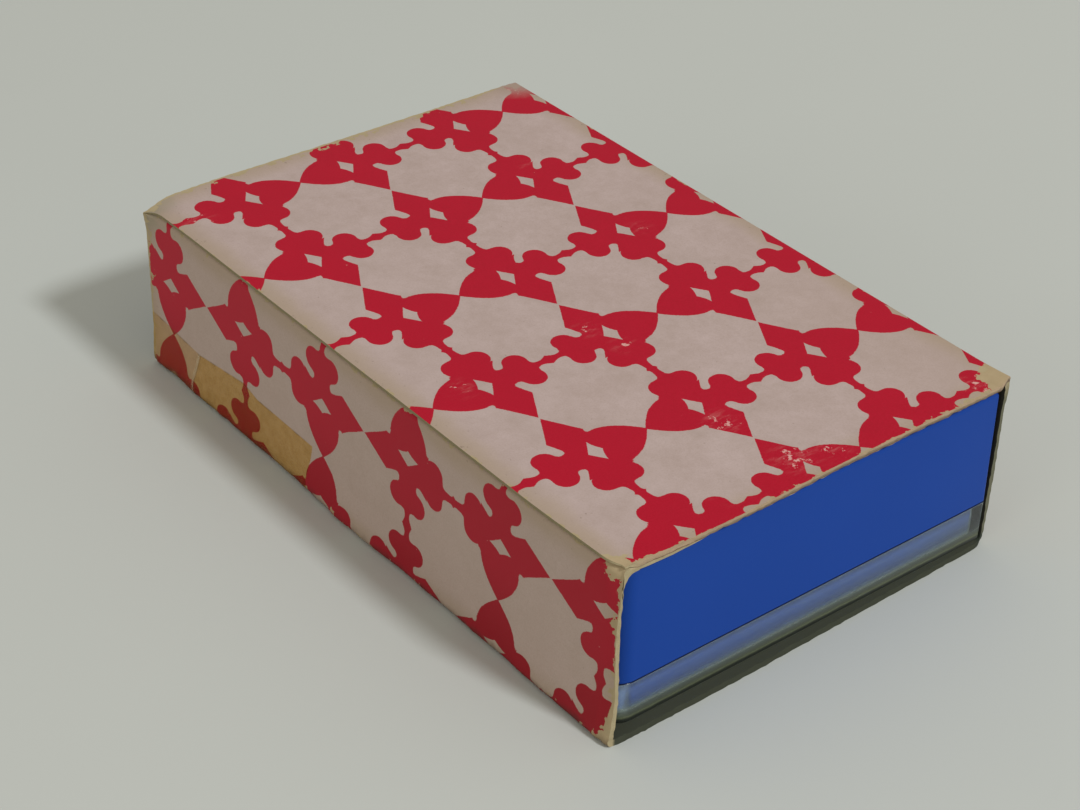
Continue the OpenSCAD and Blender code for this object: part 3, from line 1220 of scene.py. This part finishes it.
def tray_piece(material):
    """Blue tray, open side down: drafted walls, round roof edges and the rim that enters the lid."""
    top_inset, roof_inset, least_r = 7.0, 9.0, 0.5
    taper, taper_h, bevel, fillet = 0.2, 0.25, 0.15, 0.5
    parting, top = LID_HIGH.z, TRAY_HIGH.z
    seat, rim_end = parting + SEAT_GAP, TRAY_LOW.z
    roof = top - TRAY_ROOF
    rim = LID_WALL + RIM_GAP
    outline = [(top_inset, top)]
    outline += reversed(edge_round(TRAY_DRAFT, top - TRAY_EDGE_R, TRAY_EDGE_R, 1))
    outline += [(0.0, parting + PARTING_BEVEL), (PARTING_BEVEL, seat)]
    outline += [(rim, seat), (rim, rim_end + taper_h), (rim + taper, rim_end)]
    outline += [(TRAY_WALL - bevel, rim_end), (TRAY_WALL, rim_end + bevel)]
    outline += inner_fillet(TRAY_WALL, roof, fillet, 1)
    outline += [(roof_inset, roof)]
    points, faces = shell([ring(inset, z, least_r) for inset, z in outline])
    for side_x, side_y in ((-1, -1), (-1, 1), (1, -1), (1, 1)):
        rib_points, rib_faces = shell(stop_rib(side_x, side_y))
        faces += [[len(points) + corner for corner in corners] for corners in rib_faces]
        points += rib_points
    return shell_object("blue_tray", points, faces, material)


def tape_piece(material):
    """Film along the lower back of the left panel, turning in with the fold, with one raised crease."""
    rows, turn_rows, columns = 12, 6, 60
    lift, least_z, back_gap = 0.02, 0.01, 0.15
    tear, nick, ridge, ridge_w = 0.25, 0.1, 0.1, 0.3
    front, back = TAPE_FRONT_END[1][1], HALF_L - back_gap

    def film_point(row, column, under):
        share = column / columns
        drop = min(row / rows, 1.0)
        y = front + (back - front) * share
        z = polyline(y, TAPE_TOP_EDGE) * (1.0 - drop) + LEFT_FOLD_R * drop
        torn = polyline(z, TAPE_FRONT_END) - front + tear * wave(0, 0, z, 1.4, 3.0)
        y += torn * (1.0 - share)
        if row in (0, rows + turn_rows):
            z += nick * wave(0, y, 0, 0.8, 9.0)
        crease = ridge * math.exp(-((y - polyline(z, TAPE_CREASE)) / ridge_w) ** 2)
        wrinkle = 0.015 * (1 + wave(0, y, z, 0.3, 4.0)) + 0.03 * abs(wave(0, y, z, 0.7, 2.0))
        out = lift + TAPE_T * (1 - under) + crease + wrinkle
        angle = math.radians(180 + TAPE_TURN * max(row - rows, 0) / turn_rows)
        way_x, way_z = math.cos(angle), math.sin(angle)
        if row > rows:
            z = LEFT_FOLD_R * (1 + way_z)
        x, y, z = worn("left", -HALF_W + LEFT_FOLD_R * (1 + way_x), y, z, 0.0)
        return x + out * way_x, y, max(z + out * way_z, least_z)

    corners, faces = numbered(sheet_cells(rows + turn_rows + 1, columns + 1, layers=2))
    points = [film_point(*corner) for corner in corners]
    return mesh_object("amber_tape", points, faces, [material])


# The object

def dress():
    board = printed_board()
    core = raw_board()
    sleeve = sleeve_piece(board, core)
    tape = tape_piece(tape_film())
    tray = tray_piece(blue_plastic())
    lid = lid_piece(clear_plastic())
    lid.visible_shadow = False
    lid.visible_diffuse = False
    for piece, body, node, slot in (
        (sleeve, "sleeve", "sleeve", "sleeve_board"),
        (tape, "sleeve", "tape_strip", "tape"),
        (tray, "case", "case_tray", "blue_plastic"),
        (lid, "case", "case_lid", "clear_plastic"),
    ):
        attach(piece, body)
        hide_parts(node)
    stock = card_stock()
    for name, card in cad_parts.items():
        if name.startswith("card_"):
            card.data.materials.clear()
            card.data.materials.append(stock)


# Floor, light and camera

def stage():
    half = 2000.0
    corners = [(-half, -half, 0), (half, -half, 0), (half, half, 0), (-half, half, 0)]
    floor = mesh_object("floor", corners, [(0, 1, 2, 3)], [floor_paint()])


def area_light(name, direction, width, share, colour):
    """A round soft lamp; share is its part of the light on a level face."""
    way = Vector(direction).normalized()
    lamp = bpy.data.lights.new(name, "AREA")
    lamp.shape = "DISK"
    lamp.size = width * MM
    lamp.energy = share * (math.pi * LAMP_DISTANCE * MM) ** 2 / way.z
    lamp.color = colour
    holder = bpy.data.objects.new(name, lamp)
    holder.location = way * LAMP_DISTANCE * MM
    holder.rotation_euler = (-way).to_track_quat("-Z", "Y").to_euler()
    bpy.context.scene.collection.objects.link(holder)


def light():
    world = bpy.data.worlds.new("studio")
    world.use_nodes = True
    tree = world.node_tree
    sky = tree.nodes["Background"]
    sky.inputs["Color"].default_value = SKY_COLOUR
    sky.inputs["Strength"].default_value = SKY_STRENGTH
    backdrop = tree.nodes.new("ShaderNodeBackground")
    backdrop.inputs["Color"].default_value = srgb(*BACKDROP)
    ray = tree.nodes.new("ShaderNodeLightPath")
    seen = [Num(tree, ray.outputs[f"Is {kind} Ray"]) for kind in ("Camera", "Glossy", "Transmission")]
    choice = tree.nodes.new("ShaderNodeMixShader")
    tree.links.new(high(*seen).socket, choice.inputs[0])
    tree.links.new(sky.outputs[0], choice.inputs[1])
    tree.links.new(backdrop.outputs[0], choice.inputs[2])
    tree.links.new(choice.outputs[0], tree.nodes["World Output"].inputs["Surface"])
    bpy.context.scene.world = world
    area_light("key", LAMP_DIRECTION, LAMP_WIDTH, LAMP_SHARE, LAMP_COLOUR)
    area_light("fill", FILL_DIRECTION, FILL_WIDTH, FILL_SHARE, FILL_COLOUR)


def camera():
    azimuth, elevation = math.radians(CAMERA_AZIMUTH), math.radians(CAMERA_ELEVATION)
    roll = math.radians(CAMERA_ROLL)
    back = Vector((
        math.sin(azimuth) * math.cos(elevation),
        -math.cos(azimuth) * math.cos(elevation),
        math.sin(elevation),
    ))
    level = Vector((0, 0, 1)).cross(back).normalized()
    rise = back.cross(level)
    right = level * math.cos(roll) + rise * math.sin(roll)
    up = rise * math.cos(roll) - level * math.sin(roll)
    lens = bpy.data.cameras.new("view")
    lens.sensor_width = SENSOR_MM
    lens.sensor_fit = "HORIZONTAL"
    lens.lens = CAMERA_FOCAL_PX * SENSOR_MM / FRAME_WIDTH_PX
    lens.clip_start = 0.01
    holder = bpy.data.objects.new("view", lens)
    place = (Vector(CAMERA_TARGET) + back * CAMERA_DISTANCE) * MM
    holder.matrix_world = Matrix.Translation(place) @ Matrix((right, up, back)).transposed().to_4x4()
    bpy.context.scene.collection.objects.link(holder)
    bpy.context.scene.camera = holder


dress()
stage()
light()
camera()
bpy.context.scene.view_settings.view_transform = "Standard"
